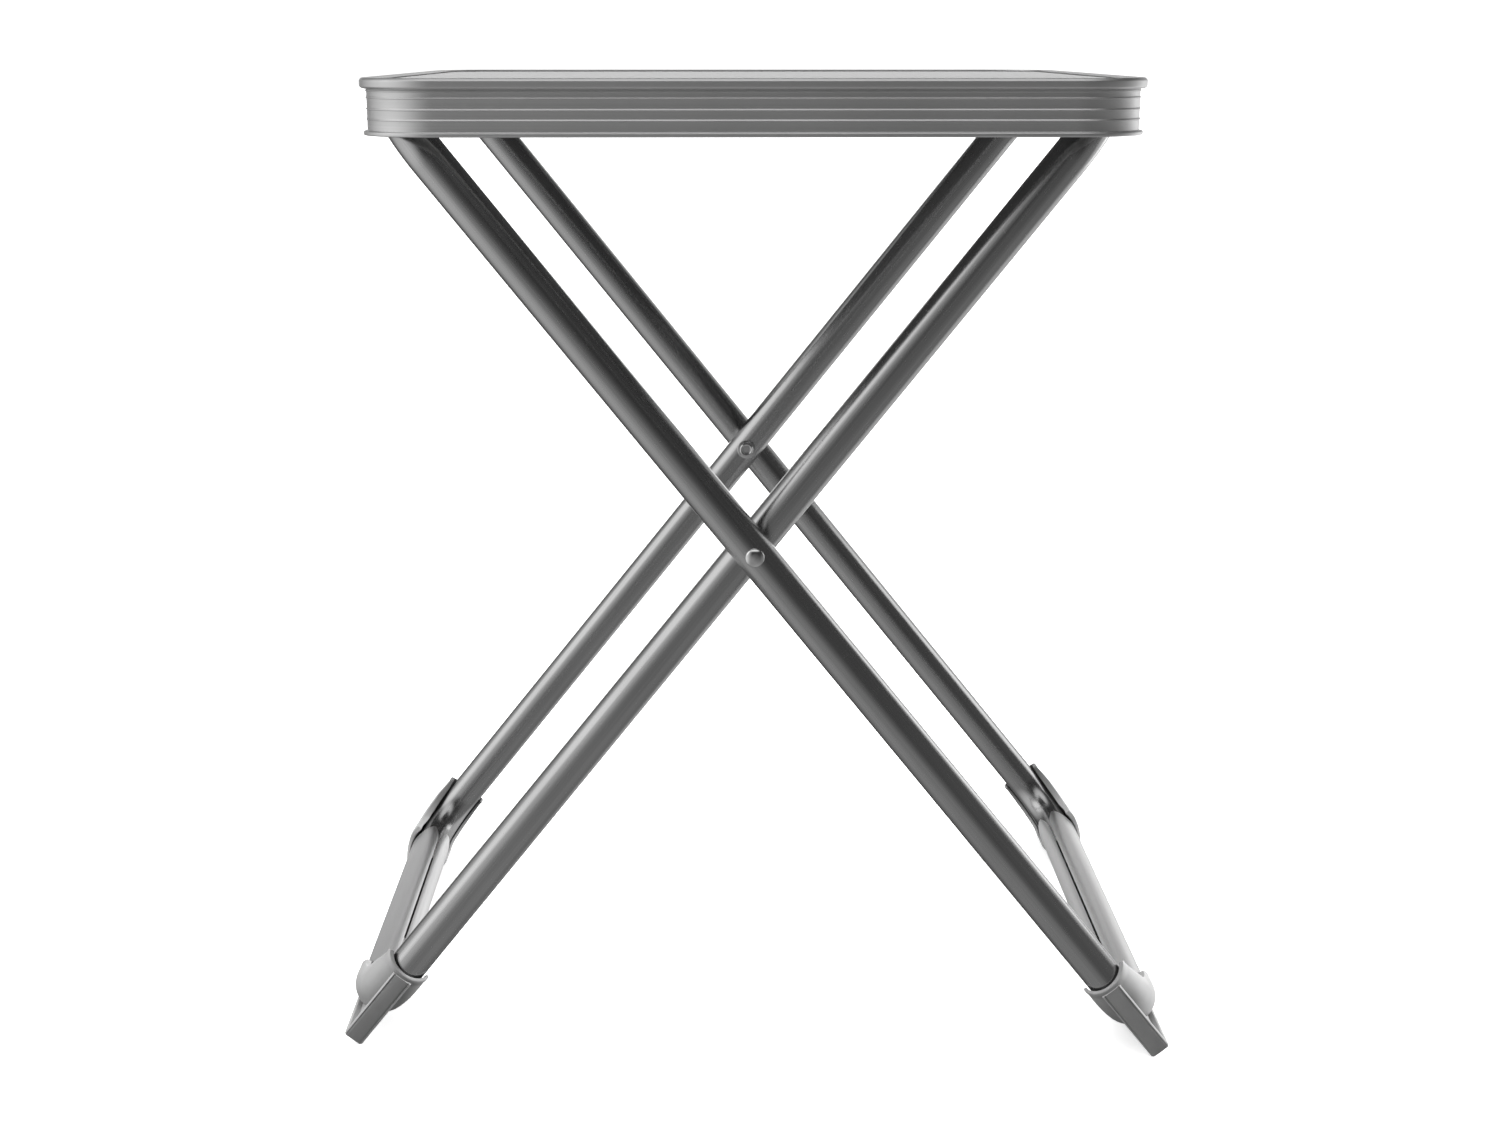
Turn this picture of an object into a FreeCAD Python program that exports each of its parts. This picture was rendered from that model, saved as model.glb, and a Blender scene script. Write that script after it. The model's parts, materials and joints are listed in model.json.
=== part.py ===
# Small folding table: a ribbed aluminium rim round a thin panel, on two crossed tube frames.
# The outer frame hinges on straps under the panel; the inner frame's cross tube sits in open
# hooks and slides under the panel while the legs close about the two pivot rivets.
# Part frame: origin on the floor below the pivots, +X across the legs, +Y back, +Z up. All mm.
import FreeCAD, Part
import os
from math import atan2, cos, hypot, radians, sin

import Sketcher
from FreeCAD import Placement, Rotation, Vector

doc = FreeCAD.newDocument("FoldingTable")

DIMENSIONS = [
    ("pivot_height", 302.0), ("leg_angle", 38.63), ("foot_arm", 364.0),
    ("tube_radius", 11.0), ("tube_wall", 1.5), ("bend_radius", 34.0), ("tube_tail", 46.0),
    ("outer_half", 171.0), ("inner_half", 147.5),
    ("pin_radius", 3.0), ("pin_play", 0.05), ("side_play", 0.3),
    ("sleeve_radius", 12.8), ("slit_half", 0.6), ("lobe_angle", 26.0),
    ("shell_radius", 15.0), ("collar_radius", 14.2), ("bend_shell_radius", 13.8),
    ("shell_bore", 11.6), ("shell_reach", 76.0), ("collar_top", 38.0), ("collar_band", 4.0),
    ("fin_half", 6.4), ("fin_front", 15.2), ("fin_trim", 1.5),
    ("rim_half_x", 207.5), ("rim_half_y", 194.0), ("rim_corner", 40.0), ("rim_height", 30.0),
    ("rim_wall", 1.3), ("flange_out", 3.0), ("flange_tall", 5.6), ("bead_out", 2.4),
    ("rib_out", 0.5), ("lip_in", 6.0), ("lip_thick", 1.5), ("ledge_in", 6.3),
    ("panel_thick", 2.7), ("field_proud", 0.3), ("panel_gap", 0.2), ("table_height", 560.0),
    ("strap_bore", 11.08), ("strap_thick", 1.2), ("strap_width", 24.0), ("strap_place", 100.0),
    ("hook_bore", 11.35), ("hook_width", 26.0), ("hook_place", 75.0),
    ("tab_low", 11.35), ("tab_high", 12.5), ("rivet_radius", 1.5), ("rivet_head", 2.7),
]
sheet = doc.addObject("Spreadsheet::Sheet", "Dimensions")
for row, (alias, number) in enumerate(DIMENSIONS, start=1):
    sheet.set("A%d" % row, alias)
    sheet.set("B%d" % row, str(number))
    sheet.setAlias("B%d" % row, alias)
doc.recompute()

ALIASES = sorted((name for name, _ in DIMENSIONS), key=len, reverse=True)


def bound(text):
    """The expression with every dimension name written as a reference to the sheet."""
    words, word = [], ""
    for letter in text + " ":
        if letter.isalnum() or letter == "_":
            word += letter
            continue
        words.append("Dimensions." + word if word in ALIASES else word)
        words.append(letter)
        word = ""
    return "".join(words).strip()


def size(text):
    """The number an expression in dimension names stands for."""
    return float(sheet.evalExpression(bound(text)))


def new_body(label):
    body = doc.addObject("PartDesign::Body", label)
    body.Label = label
    return body


def new_sketch(body, role, name, offset="0"):
    plane = next(item for item in body.Origin.OriginFeatures if item.Role == role)
    sketch = body.newObject("Sketcher::SketchObject", name)
    sketch.AttachmentSupport = (plane, [""])
    sketch.MapMode = "FlatFace"
    if size(offset):
        sketch.AttachmentOffset = Placement(Vector(0, 0, size(offset)), Rotation())
        sketch.setExpression("AttachmentOffset.Base.z", bound(offset))
    return sketch


def locate(sketch, item, end, across, along):
    """Fixes one point of a sketch at a pair of expressions measured from its origin."""
    for kind, text, axis in (("DistanceX", across, -2), ("DistanceY", along, -1)):
        number = size(text)
        if abs(number) < 1e-9:
            sketch.addConstraint(Sketcher.Constraint("PointOnObject", item, end, axis))
            continue
        index = sketch.addConstraint(Sketcher.Constraint(kind, -1, 1, item, end, number))
        sketch.setExpression("Constraints[%d]" % index, bound(text))


def circle(sketch, across, along, radius):
    centre = Vector(size(across), size(along), 0)
    item = sketch.addGeometry(Part.Circle(centre, Vector(0, 0, 1), size(radius)))
    locate(sketch, item, 3, across, along)
    index = sketch.addConstraint(Sketcher.Constraint("Radius", item, size(radius)))
    sketch.setExpression("Constraints[%d]" % index, bound(radius))


def outline(sketch, points, closed=True):
    """Lines and arcs through points. A point is (x, y) or (x, y, centre x, centre y, radius,
    turn): the second form starts an arc, turn being +1 anticlockwise or -1 clockwise."""
    spots = [Vector(size(p[0]), size(p[1]), 0) for p in points]
    count = len(points) if closed else len(points) - 1
    ends = []
    for number in range(count):
        here, there = spots[number], spots[(number + 1) % len(points)]
        if len(points[number]) == 2:
            item = sketch.addGeometry(Part.LineSegment(here, there))
            ends.append((item, 1, 2))
            continue
        middle = Vector(size(points[number][2]), size(points[number][3]), 0)
        turn = points[number][5]
        first, last = (here, there) if turn > 0 else (there, here)
        angles = [atan2(p.y - middle.y, p.x - middle.x) for p in (first, last)]
        ring = Part.Circle(middle, Vector(0, 0, 1), (here - middle).Length)
        item = sketch.addGeometry(Part.ArcOfCircle(ring, angles[0], angles[1]))
        ends.append((item, 1, 2) if turn > 0 else (item, 2, 1))
        index = sketch.addConstraint(Sketcher.Constraint("Radius", item, size(points[number][4])))
        sketch.setExpression("Constraints[%d]" % index, bound(points[number][4]))
    for number, (item, start, _) in enumerate(ends):
        locate(sketch, item, start, points[number][0], points[number][1])
        if number:
            before = ends[number - 1]
            sketch.addConstraint(Sketcher.Constraint("Coincident", before[0], before[2], item, start))
    if closed:
        sketch.addConstraint(
            Sketcher.Constraint("Coincident", ends[-1][0], ends[-1][2], ends[0][0], ends[0][1]))
    else:
        locate(sketch, ends[-1][0], ends[-1][2], points[-1][0], points[-1][1])


def pad(body, sketch, length, both=True, back=False):
    feature = body.newObject("PartDesign::Pad", sketch.Name + "_pad")
    feature.Profile = sketch
    feature.SideType = "Symmetric" if both else "One side"
    feature.Reversed = back
    feature.Length = size(length)
    feature.setExpression("Length", bound(length))
    return feature


def cut_through(body, sketch, length="1000", both=True, back=False):
    doc.recompute()
    before = body.Shape.Volume
    feature = body.newObject("PartDesign::Pocket", sketch.Name + "_cut")
    feature.Profile = sketch
    feature.SideType = "Symmetric" if both else "One side"
    feature.Reversed = back
    feature.Length = size(length)
    feature.setExpression("Length", bound(length))
    doc.recompute()
    if not body.Shape.Volume < before - 0.01:
        raise RuntimeError("%s removes nothing" % feature.Name)
    return feature


def revolve(body, sketch):
    """Turns a sketch on the XY plane about the body's own X axis."""
    feature = body.newObject("PartDesign::Revolution", sketch.Name + "_turn")
    feature.Profile = sketch
    feature.ReferenceAxis = (sketch, ["H_Axis"])
    feature.Angle = 360
    return feature


def pipe(body, profile, path, kind="AdditivePipe"):
    feature = body.newObject("PartDesign::" + kind, profile.Name + "_pipe")
    feature.Profile = profile
    feature.Spine = (path, [])
    return feature


def finish(label, base, tools=()):
    """The finished piece: its base, with the holes of the fasteners that pass through it."""
    piece = base
    for number, tool in enumerate(tools):
        cut = doc.addObject("Part::Cut", "%s_drilled_%d" % (label, number))
        cut.Base, cut.Tool = piece, tool
        piece = cut
    doc.recompute()
    base.Label = label + "_blank" if piece is not base else label
    piece.Label = label
    PIECES.append((label, piece))
    return piece


PIECES = []


# ---- placements -------------------------------------------------------------------------
def frame_placement(side):
    """Local X runs back, local Y up the leg, origin on the pivot axis. side is the side of
    the feet: +1 right for the outer frame, -1 left for the inner frame."""
    angle = radians(size("leg_angle"))
    up = Vector(-side * sin(angle), 0, cos(angle))
    back = Vector(0, 1, 0)
    return Placement(Vector(0, 0, size("pivot_height")), Rotation(back, up, back.cross(up), "ZXY"))


OUTER, INNER = frame_placement(1), frame_placement(-1)
TURNED = Rotation(Vector(0, 1, 0), 180)
FRAMES = (("outer", OUTER, "outer_half"), ("inner", INNER, "inner_half"))


def at_end(frame, half, end, along):
    """A spot on one leg of a frame; end -1 is the near leg, +1 the far leg, turned inward."""
    spot = Vector(end * size(half), size(along), 0)
    return frame.multiply(Placement(spot, TURNED if end > 0 else Rotation()))


# ---- leg frames -------------------------------------------------------------------------
# The cross tubes' height follows from the panel's underside and the tabs between them.
TOP_ARM = ("((table_height - lip_thick - panel_thick - tab_high - pivot_height)"
           " / cos(leg_angle))")


def leg_frame(label, frame, half, hole):
    body = new_body(label + "_tube")
    path = new_sketch(body, "XY_Plane", label + "_path")
    near, far = "-" + half, half
    turn_near, turn_far = "-(%s - bend_radius)" % half, "%s - bend_radius" % half
    low, low_turn = "-foot_arm", "bend_radius - foot_arm"
    high, high_turn = TOP_ARM, TOP_ARM + " - bend_radius"
    outline(path, [
        ("-(%s - bend_radius - tube_tail)" % half, low),
        (turn_near, low, turn_near, low_turn, "bend_radius", -1),
        (near, low_turn),
        (near, high_turn, turn_near, high_turn, "bend_radius", -1),
        (turn_near, high),
        (turn_far, high, turn_far, high_turn, "bend_radius", -1),
        (far, high_turn),
        (far, low_turn, turn_far, low_turn, "bend_radius", -1),
        (turn_far, low),
        ("%s - bend_radius - tube_tail" % half, low),
    ], closed=False)
    ring = new_sketch(body, "YZ_Plane", label + "_ring", "-(%s - bend_radius - tube_tail)" % half)
    circle(ring, low, "0", "tube_radius")
    circle(ring, low, "0", "tube_radius - tube_wall")
    pipe(body, ring, path)
    holes = new_sketch(body, "YZ_Plane", label + "_holes")
    circle(holes, "0", "0", hole)
    cut_through(body, holes)
    body.Placement = frame
    return body


def crossbar(label, frame, half):
    """Slit sleeve over both tube ends, with two low lobes along the slit."""
    body = new_body(label + "_sleeve")
    section = new_sketch(body, "YZ_Plane", label + "_section")
    lobe_up, lobe_out = "sleeve_radius * cos(lobe_angle)", "sleeve_radius * sin(lobe_angle)"
    bore_up = "sqrt(tube_radius * tube_radius - slit_half * slit_half)"
    valley = "tube_radius + 0.45"
    outline(section, [
        (lobe_up, lobe_out, "0", "0", "sleeve_radius", 1),
        (lobe_up, "-" + lobe_out),
        (valley, "-slit_half"),
        (bore_up, "-slit_half", "0", "0", "tube_radius", -1),
        (bore_up, "slit_half"),
        (valley, "slit_half"),
    ])
    pad(body, section, "2 * (%s - bend_radius)" % half)
    for end in ("-", ""):
        notch = new_sketch(body, "XZ_Plane", label + "_notch" + ("_near" if end else "_far"))
        reach = "%s(%s - bend_radius - %%s)" % (end, half)
        outline(notch, [(reach % "(-1)", "6"), (reach % "4", "3.4"), (reach % "12", "0.7"),
                        (reach % "12", "-0.7"), (reach % "4", "-3.4"), (reach % "(-1)", "-6")])
        cut_through(body, notch, "20", both=False)
    body.Placement = frame.multiply(Placement(Vector(0, -size("foot_arm"), 0), Rotation()))
    return body


def half_round(sketch, radius):
    """The half of a disc on the sketch's -X side."""
    reach = size(radius)
    ring = Part.Circle(Vector(0, 0, 0), Vector(0, 0, 1), reach)
    arc = sketch.addGeometry(Part.ArcOfCircle(ring, radians(90), radians(270)))
    edge = sketch.addGeometry(Part.LineSegment(Vector(0, -reach, 0), Vector(0, reach, 0)))
    sketch.addConstraint(Sketcher.Constraint("Coincident", arc, 3, -1, 1))
    sketch.addConstraint(Sketcher.Constraint("PointOnObject", arc, 1, -2))
    sketch.addConstraint(Sketcher.Constraint("PointOnObject", arc, 2, -2))
    sketch.addConstraint(Sketcher.Constraint("Coincident", arc, 2, edge, 1))
    sketch.addConstraint(Sketcher.Constraint("Coincident", edge, 2, arc, 1))
    index = sketch.addConstraint(Sketcher.Constraint("Radius", arc, reach))
    sketch.setExpression("Constraints[%d]" % index, bound(radius))


# Far enough down the leg that the trimmed lower edge of the fin lies on the floor.
FIN_DROP = "((pivot_height - (fin_half - fin_trim) * sin(leg_angle)) / cos(leg_angle) - foot_arm)"


def corner_foot(label, placement):
    """Half shell round the outside of the bend, and a squared fin that meets the floor.
    Local origin where leg axis and crossbar axis would cross; leg up +Y, crossbar +X."""
    body = new_body(label + "_moulding")
    path = new_sketch(body, "XY_Plane", label + "_path")
    bend = ("0", "bend_radius", "bend_radius", "bend_radius", "bend_radius", 1)
    outline(path, [("0", "collar_top"), bend, ("bend_radius", "0")], closed=False)
    sleeve = new_sketch(body, "XZ_Plane", label + "_sleeve", "-collar_top")
    half_round(sleeve, "bend_shell_radius")
    pipe(body, sleeve, path)
    collar = new_sketch(body, "XZ_Plane", label + "_collar", "-(collar_top - collar_band / 2)")
    half_round(collar, "collar_radius")
    pad(body, collar, "collar_band")
    trough = new_sketch(body, "YZ_Plane", label + "_trough", "bend_radius - 1.5")
    half_round(trough, "shell_radius")
    pad(body, trough, "shell_reach - bend_radius + 1.5", both=False)
    fin = new_sketch(body, "XY_Plane", label + "_fin")
    outline(fin, [("-fin_front", "collar_top - 3"), ("-fin_front", "-" + FIN_DROP),
                  ("46", "-" + FIN_DROP), ("shell_reach - 10", "-shell_radius + 0.4"),
                  ("shell_reach - 10", "-9"), ("bend_radius", "-6"), ("14", "-1"),
                  ("-4", "16"), ("-8", "collar_top - 3")])
    pad(body, fin, "2 * fin_half")
    bore = new_sketch(body, "XZ_Plane", label + "_bore", "-(collar_top + 4)")
    circle(bore, "0", "0", "shell_bore")
    bore_path = new_sketch(body, "XY_Plane", label + "_bore_path")
    outline(bore_path, [("0", "collar_top + 4"), bend, ("bend_radius", "0"),
                        ("shell_reach + 1", "0")], closed=False)
    pipe(body, bore, bore_path, "SubtractivePipe")
    channel = new_sketch(body, "YZ_Plane", label + "_channel", "bend_radius")
    circle(channel, "0", "0", "sleeve_radius")
    cut_through(body, channel, "shell_reach", both=False, back=True)
    tongue = new_sketch(body, "XY_Plane", label + "_tongue")
    outline(tongue, [("shell_reach - 9", "1"), ("shell_reach - 9", "0", "shell_reach - 9", "-9", "9", -1),
                     ("shell_reach", "-9"), ("shell_reach + 1", "-9"), ("shell_reach + 1", "1")])
    cut_through(body, tongue)
    for side, word in (("-", "low"), ("", "high")):
        trim = new_sketch(body, "YZ_Plane", label + "_trim_" + word)
        slope = "fin_trim * tan(leg_angle)"
        outline(trim, [("-%s - 1" % FIN_DROP, side + "(fin_half + 1)"),
                       ("-%s - 1" % FIN_DROP, side + "(fin_half - fin_trim)"),
                       ("-" + FIN_DROP, side + "(fin_half - fin_trim)"),
                       ("-%s + %s" % (FIN_DROP, slope), side + "fin_half"),
                       ("-%s + %s" % (FIN_DROP, slope), side + "(fin_half + 1)")])
        cut_through(body, trim, "400")
    body.Placement = placement
    return body


def foot_rivets(label, frame, half):
    """Blind rivets through foot, sleeve and tube end, pointing up the leg."""
    rivets = []
    for end in (-1, 1):
        body = new_body("%s_%s" % (label, "near" if end < 0 else "far"))
        section = new_sketch(body, "XY_Plane", body.Name + "_section")
        outline(section, [("-shell_radius - 1.1", "0"), ("-shell_radius - 1.1", "2.2"),
                          ("-shell_radius - 0.4", "3.6"), ("-shell_radius + 0.6", "3.6"),
                          ("-shell_radius + 0.6", "2"), ("-tube_radius + tube_wall", "2"),
                          ("-tube_radius + tube_wall", "2.9"), ("-8", "2.6"), ("-7.4", "0")])
        revolve(body, section)
        spot = at_end(frame, half, end, "-foot_arm")
        inward = Placement(Vector(size("shell_reach") - 6, 0, 0), Rotation(Vector(0, 0, 1), 90))
        body.Placement = spot.multiply(inward)
        rivets.append(body)
    group = doc.addObject("Part::Compound", label)
    group.Links = rivets
    return group


for name, frame, half in FRAMES:
    rivets = finish(name + "_foot_rivets", foot_rivets(name + "_rivet", frame, half))
    hole = "pin_radius" if name == "outer" else "pin_radius + pin_play"
    finish(name + "_leg_frame", leg_frame(name, frame, half, hole), [rivets])
    finish(name + "_crossbar", crossbar(name + "_bar", frame, half), [rivets])
    for end, word in ((-1, "near"), (1, "far")):
        label = "%s_foot_%s" % (name, word)
        finish(label, corner_foot(label, at_end(frame, half, end, "-foot_arm")), [rivets])


# ---- pivots -----------------------------------------------------------------------------
# Local X points inward from the outer leg's axis; the inner leg's axis is frame_gap further in.
FRAME_GAP = "(outer_half - inner_half)"


def pivot_rivet(label, placement):
    body = new_body(label)
    face = "-tube_radius"
    cap = new_sketch(body, "XY_Plane", label + "_cap")
    outline(cap, [(face + " - 2.5", "0"), (face + " - 2.3", "2.2"), (face + " - 1.5", "4.2"),
                  (face + " - 0.5", "5.35"), (face + " + 1.6", "5.35"), (face + " + 1.6", "0")])
    revolve(body, cap)
    saddle = new_sketch(body, "XZ_Plane", label + "_saddle")
    circle(saddle, "0", "0", "tube_radius")
    cut_through(body, saddle, "40")
    tail = new_sketch(body, "XY_Plane", label + "_shank")
    seat = "%s + tube_radius + side_play + 1" % FRAME_GAP
    outline(tail, [(face + " - 1", "0"), (face + " - 1", "pin_radius"), (seat, "pin_radius"),
                   (seat, "4.2"), (seat + " + 0.6", "4.7"), (seat + " + 1.6", "4.7"),
                   (seat + " + 2.2", "4.0"), (seat + " + 2.2", "3.1"), (seat + " + 1.4", "2.4"),
                   (seat + " - 1", "1.6"), (seat + " - 1", "0")])
    revolve(body, tail)
    body.Placement = placement
    return body


def washer(label, placement, start, thick, radius):
    body = new_body(label)
    ring = new_sketch(body, "YZ_Plane", label + "_ring", start)
    circle(ring, "0", "0", radius)
    circle(ring, "0", "0", "pin_radius")
    pad(body, ring, thick, both=False)
    body.Placement = placement
    return body


def pivot_spacer(label, placement):
    flat = "%s - tube_radius - side_play" % FRAME_GAP
    body = washer(label, placement, flat + " - 4.2", "4.2", "7.5")
    saddle = new_sketch(body, "XZ_Plane", label + "_saddle")
    circle(saddle, "0", "0", "tube_radius")
    cut_through(body, saddle, "40")
    return body


for end, word in ((-1, "near"), (1, "far")):
    spot = at_end(OUTER, "outer_half", end, "0")
    finish("pivot_rivet_" + word, pivot_rivet("pivot_rivet_" + word, spot))
    finish("pivot_spacer_" + word, pivot_spacer("pivot_spacer_" + word, spot))
    inside = "%s + tube_radius + side_play" % FRAME_GAP
    finish("pivot_washer_" + word, washer("pivot_washer_" + word, spot, inside, "1", "6.4"))


# ---- tabletop ---------------------------------------------------------------------------
def rounded_rectangle(half_x, half_y, radius):
    """Corner points of a rounded rectangle, starting low on the right side."""
    inner_x, inner_y = "(%s - %s)" % (half_x, radius), "(%s - %s)" % (half_y, radius)
    corners = []
    for sx, sy in (("", ""), ("-", ""), ("-", "-"), ("", "-")):
        side, along = (sx + half_x, sy + inner_y), (sx + inner_x, sy + half_y)
        before, after = (side, along) if (sx == "") == (sy == "") else (along, side)
        corners.append(before + (sx + inner_x, sy + inner_y, radius, 1))
        corners.append(after)
    return [corners[-1]] + corners[:-1]


def rim_section():
    """Points across the extrusion, measured outward from the wall and down from the top."""
    ribs = []
    for depth in ("21.5", "16.1", "10.2"):
        ribs += [("rim_half_x", "-%s - 0.5" % depth), ("rim_half_x + rib_out", "-%s - 0.2" % depth),
                 ("rim_half_x + rib_out", "-%s + 0.2" % depth), ("rim_half_x", "-%s + 0.5" % depth)]
    low = "-rim_height"
    return [
        ("rim_half_x - lip_in", "0"), ("rim_half_x - lip_in", "-lip_thick"),
        ("rim_half_x - rim_wall", "-lip_thick"),
        ("rim_half_x - rim_wall", "-lip_thick - panel_thick"),
        ("rim_half_x - ledge_in", "-lip_thick - panel_thick"),
        ("rim_half_x - ledge_in", "-lip_thick - panel_thick - 1.2"),
        ("rim_half_x - rim_wall", "-lip_thick - panel_thick - 1.2"),
        ("rim_half_x - rim_wall", low), ("rim_half_x + bead_out - 0.6", low),
        ("rim_half_x + bead_out", low + " + 0.6"), ("rim_half_x + bead_out", low + " + 2"),
        ("rim_half_x + bead_out - 0.6", low + " + 2.6"), ("rim_half_x", low + " + 2.9"),
    ] + ribs + [
        ("rim_half_x", "-flange_tall"), ("rim_half_x + flange_out - 0.9", "-flange_tall"),
        ("rim_half_x + flange_out", "-flange_tall + 1.2"), ("rim_half_x + flange_out", "-1.2"),
        ("rim_half_x + flange_out - 0.9", "0"),
    ]


def rim():
    body = new_body("rim_extrusion")
    path = new_sketch(body, "XY_Plane", "rim_path")
    outline(path, rounded_rectangle("rim_half_x", "rim_half_y", "rim_corner"))
    section = new_sketch(body, "XZ_Plane", "rim_section", "rim_half_y - rim_corner")
    outline(section, rim_section())
    pipe(body, section, path)
    body.Placement = Placement(Vector(0, 0, size("table_height")), Rotation())
    return body


def panel():
    body = new_body("panel_sheet")
    sketch = new_sketch(body, "XY_Plane", "panel_outline")
    inset = " - rim_wall - panel_gap)"
    outline(sketch, rounded_rectangle("(rim_half_x" + inset, "(rim_half_y" + inset,
                                      "(rim_corner" + inset))
    pad(body, sketch, "panel_thick", both=False, back=True)
    # The field inside the lip stands a little proud of the edge that the lip covers.
    field = new_sketch(body, "XY_Plane", "panel_field")
    inset = " - lip_in - 0.4)"
    outline(field, rounded_rectangle("(rim_half_x" + inset, "(rim_half_y" + inset,
                                     "(rim_corner" + inset))
    pad(body, field, "field_proud", both=False)
    body.Placement = Placement(Vector(0, 0, size("table_height - lip_thick")), Rotation())
    return body


def cross_tube(side):
    """Middle of a top cross tube: side -1 the outer frame's, +1 the inner frame's."""
    angle = radians(size("leg_angle"))
    arm = size(TOP_ARM)
    return Vector(side * arm * sin(angle), 0, size("pivot_height") + arm * cos(angle))


def hinge_strap(label, along):
    body = new_body(label + "_strip")
    ring = new_sketch(body, "XZ_Plane", label + "_ring")
    circle(ring, "0", "0", "strap_bore + strap_thick")
    pad(body, ring, "strap_width")
    tab = new_sketch(body, "XZ_Plane", label + "_tab")
    outline(tab, [("1", "tab_low"), ("30", "tab_low"), ("30", "tab_high"), ("1", "tab_high")])
    pad(body, tab, "strap_width")
    bore = new_sketch(body, "XZ_Plane", label + "_bore")
    circle(bore, "0", "0", "strap_bore")
    cut_through(body, bore)
    slit = new_sketch(body, "XZ_Plane", label + "_slit")
    outline(slit, [("-2.4", "9"), ("-0.8", "9"), ("-0.8", "14"), ("-2.4", "14")])
    cut_through(body, slit)
    body.Placement = Placement(cross_tube(-1) + Vector(0, along, 0), Rotation())
    return body


def snap_hook(label, along):
    """Open toward the hinge side, so spreading legs push the cross tube into it."""
    body = new_body(label + "_moulding")
    section = new_sketch(body, "XZ_Plane", label + "_section")
    outline(section, [
        ("-20", "tab_high"), ("8.2", "tab_high"), ("8.2", "11.2"), ("13.3", "11.2"),
        ("13.3", "-13"), ("-6", "-13"), ("-6", "-hook_bore"),
        ("0", "-hook_bore", "0", "0", "hook_bore", 1),
        ("hook_bore", "0", "0", "0", "hook_bore", 1), ("0", "hook_bore"),
        ("-20", "hook_bore")])
    pad(body, section, "hook_width")
    body.Placement = Placement(cross_tube(1) + Vector(0, along, 0), Rotation())
    return body


def panel_rivets(label, side, place, across):
    """Flush rivets up through a tab into the panel, two to each tab."""
    rivets = []
    for end in (-1, 1):
        for step in (-1, 1):
            body = new_body("%s_%d" % (label, len(rivets)))
            section = new_sketch(body, "XY_Plane", body.Name + "_section")
            outline(section, [("tab_low", "0"), ("tab_low", "rivet_head"),
                              ("tab_high", "rivet_radius"), ("tab_high + 2.2", "rivet_radius"),
                              ("tab_high + 2.2", "0")])
            revolve(body, section)
            spot = cross_tube(side) + Vector(across, end * size(place) + step * 7, 0)
            body.Placement = Placement(spot, Rotation(Vector(0, 1, 0), -90))
            rivets.append(body)
    group = doc.addObject("Part::Compound", label)
    group.Links = rivets
    return group


strap_rivets = finish("hinge_strap_rivets", panel_rivets("strap_rivet", -1, "strap_place", 22))
hook_rivets = finish("snap_hook_rivets", panel_rivets("hook_rivet", 1, "hook_place", -14))
for end, word in ((-1, "near"), (1, "far")):
    label = "hinge_strap_" + word
    finish(label, hinge_strap(label, end * size("strap_place")), [strap_rivets])
    label = "snap_hook_" + word
    finish(label, snap_hook(label, end * size("hook_place")), [hook_rivets])
finish("rim_profile", rim())
finish("tabletop_panel", panel(), [strap_rivets, hook_rivets])

# ---- checks and export ------------------------------------------------------------------
doc.recompute()
for item in doc.Objects:
    if "Invalid" in item.State or "Error" in item.State:
        raise RuntimeError("%s is %s" % (item.Label, item.State))
os.makedirs("parts", exist_ok=True)
for label, piece in PIECES:
    shape = piece.Shape
    if shape.isNull() or not shape.isValid() or not shape.Solids:
        raise RuntimeError("%s has no valid solid" % label)
    shape.exportStep("parts/%s.step" % label)
    print("%-20s %d solid(s), %9.1f mm3, %s" % (label, len(shape.Solids), shape.Volume, shape.BoundBox))
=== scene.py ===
import json
from math import cos, hypot, pi, radians, sin, sqrt, tan

import bmesh
import bpy
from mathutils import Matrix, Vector


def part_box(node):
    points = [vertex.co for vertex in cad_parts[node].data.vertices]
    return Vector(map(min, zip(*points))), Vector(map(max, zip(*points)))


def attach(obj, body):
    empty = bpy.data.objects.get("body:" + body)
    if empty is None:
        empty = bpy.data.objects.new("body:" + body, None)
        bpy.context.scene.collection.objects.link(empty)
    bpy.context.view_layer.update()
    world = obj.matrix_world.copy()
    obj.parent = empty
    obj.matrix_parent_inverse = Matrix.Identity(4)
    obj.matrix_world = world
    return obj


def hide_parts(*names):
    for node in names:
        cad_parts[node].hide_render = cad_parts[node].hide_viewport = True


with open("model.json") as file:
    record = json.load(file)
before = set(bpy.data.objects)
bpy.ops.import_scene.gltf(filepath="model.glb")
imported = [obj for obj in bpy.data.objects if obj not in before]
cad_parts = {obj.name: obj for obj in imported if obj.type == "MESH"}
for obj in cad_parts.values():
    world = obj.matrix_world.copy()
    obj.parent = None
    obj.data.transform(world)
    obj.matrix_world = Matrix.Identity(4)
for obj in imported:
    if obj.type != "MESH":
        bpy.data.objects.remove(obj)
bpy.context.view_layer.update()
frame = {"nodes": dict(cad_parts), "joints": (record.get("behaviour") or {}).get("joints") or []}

MM = 0.001
Y, Z = Vector((0, 1, 0)), Vector((0, 0, 1))

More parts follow.
